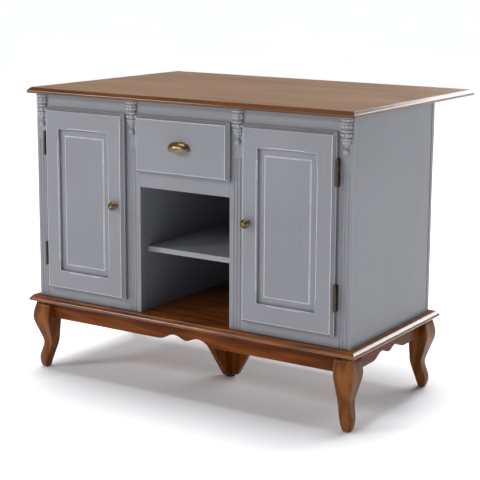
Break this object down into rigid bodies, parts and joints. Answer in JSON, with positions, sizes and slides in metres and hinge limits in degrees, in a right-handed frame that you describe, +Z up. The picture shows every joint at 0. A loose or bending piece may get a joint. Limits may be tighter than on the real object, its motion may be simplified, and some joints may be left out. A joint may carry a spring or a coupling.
{
  "type": "kitchen island",
  "caption": "Painted kitchen island with hinged panel doors, a drawer with a cup pull, an open shelved compartment, a wooden worktop overhanging at the back and curved wooden legs.",
  "frame": {"origin": "on the floor, under the middle of the object's bounding box", "axes": "+X to the right along the front as seen from the front, +Y from the front to the back, +Z up"},
  "size_m": [1.174, 0.811, 0.9],
  "materials": {
    "grey_paint": "satin grey paint over wood, faint brush lines",
    "inner_paint": "matt dark grey paint",
    "top_wood": "satin brown stained wood, fine grain",
    "base_wood": "satin red-brown stained wood",
    "raw_wood": "unfinished light wood",
    "aged_brass": "antique brass, darkened in the hollows",
    "hinge_brass": "dark antique brass",
    "black_plastic": "matt black"
  },
  "bodies": {
    "cabinet": {"worktop": "top_wood", "base_board": "base_wood", "leg_front_left": "base_wood", "leg_back_left": "base_wood", "leg_front_right": "base_wood", "leg_back_right": "base_wood", "apron_front": "base_wood", "apron_back": "base_wood", "apron_left": "base_wood", "apron_right": "base_wood", "support_long_board": "base_wood", "support_cross_board": "base_wood", "support_glide": "black_plastic", "side_panel_left": "grey_paint", "partition_left": "inner_paint", "shelf_left": "inner_paint", "side_panel_right": "grey_paint", "partition_right": "inner_paint", "shelf_right": "inner_paint", "back_panel": "grey_paint", "shelf_centre": "grey_paint", "dust_board": "inner_paint", "stile_outer_left": "grey_paint", "stile_inner_left": "grey_paint", "top_rail_left": "grey_paint", "bottom_rail_left": "grey_paint", "stile_outer_right": "grey_paint", "stile_inner_right": "grey_paint", "top_rail_right": "grey_paint", "bottom_rail_right": "grey_paint", "top_rail_centre": "grey_paint", "drawer_rail": "grey_paint", "corbel_outer_left": "grey_paint", "corbel_inner_left": "grey_paint", "drawer_runner_left": "raw_wood", "door_catch_left": "black_plastic", "hinge_left_lower_frame_leaf": "hinge_brass", "hinge_left_upper_frame_leaf": "hinge_brass", "corbel_outer_right": "grey_paint", "corbel_inner_right": "grey_paint", "drawer_runner_right": "raw_wood", "door_catch_right": "black_plastic", "hinge_right_lower_frame_leaf": "hinge_brass", "hinge_right_upper_frame_leaf": "hinge_brass"},
    "door_left": {"door_frame_left": "grey_paint", "door_panel_left": "grey_paint", "knob_left": "aged_brass", "hinge_left_lower_door_leaf": "hinge_brass", "hinge_left_upper_door_leaf": "hinge_brass"},
    "door_right": {"door_frame_right": "grey_paint", "door_panel_right": "grey_paint", "knob_right": "aged_brass", "hinge_right_lower_door_leaf": "hinge_brass", "hinge_right_upper_door_leaf": "hinge_brass"},
    "drawer": {"drawer_front": "grey_paint", "drawer_side_left": "raw_wood", "drawer_side_right": "raw_wood", "drawer_back": "raw_wood", "drawer_bottom": "raw_wood", "cup_pull": "aged_brass"}
  },
  "joints": [
    {"name": "door_left_hinge", "type": "hinge", "parent": "cabinet", "child": "door_left", "pos_m": [-0.5175, -0.3705, 0.5555], "axis": [0, 0, -1], "range_deg": [0, 90]},
    {"name": "door_right_hinge", "type": "hinge", "parent": "cabinet", "child": "door_right", "pos_m": [0.5175, -0.3705, 0.5555], "axis": [0, 0, 1], "range_deg": [0, 90]},
    {"name": "drawer_slide", "type": "slide", "parent": "cabinet", "child": "drawer", "axis": [0, -1, 0], "range_m": [0, 0.3]}
  ]
}
